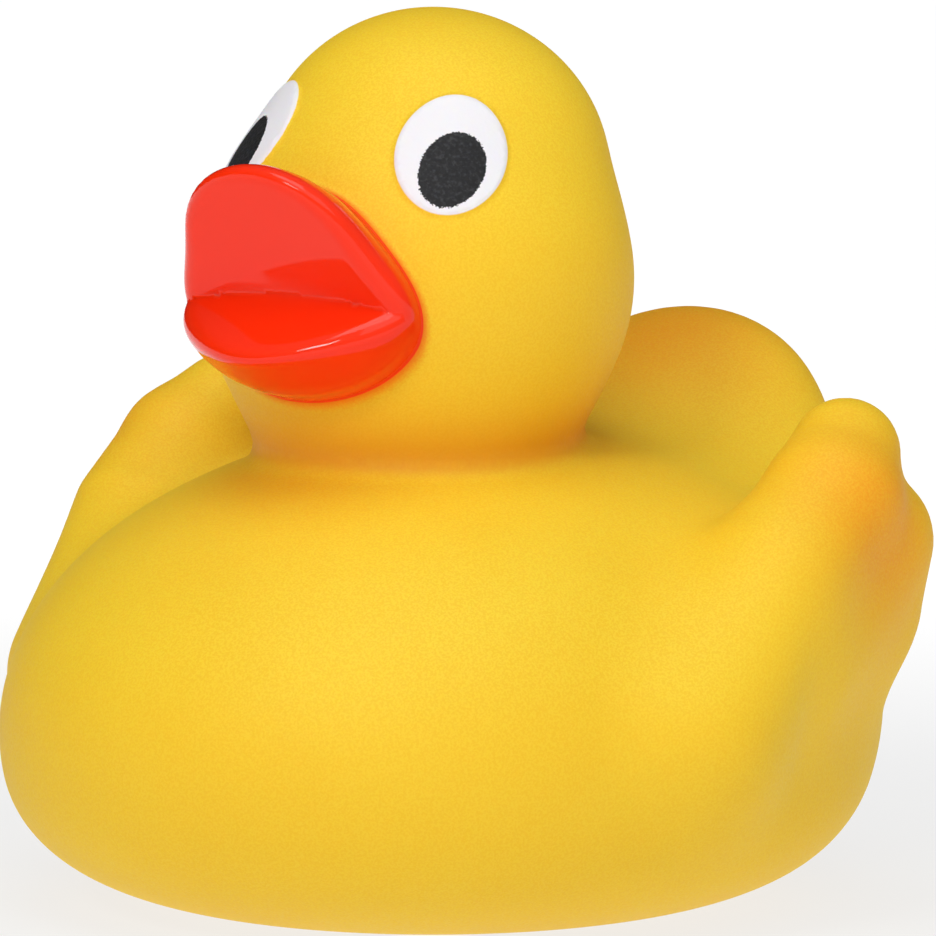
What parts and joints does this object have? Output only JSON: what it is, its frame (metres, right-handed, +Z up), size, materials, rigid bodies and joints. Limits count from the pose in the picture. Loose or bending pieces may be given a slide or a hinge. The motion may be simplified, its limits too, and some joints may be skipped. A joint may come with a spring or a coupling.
{
  "type": "rubber duck",
  "caption": "Hollow soft-vinyl bath duck with an open painted bill, raised eyes, swept-up wings, a fan tail and a flat base.",
  "frame": {"origin": "middle of the footprint, on the surface that the duck stands on", "axes": "+Z up, -Y the way the bill points, +X the duck's left side"},
  "size_m": [0.082, 0.0852, 0.0775],
  "materials": {
    "yellow_vinyl": "satin moulded soft vinyl with a fine grain, gloss red paint on the bill, white and black paint on the eyes, soft orange airbrush on wing ends and tail"
  },
  "bodies": {
    "root": {"duck_shell": "yellow_vinyl"}
  },
  "joints": []
}
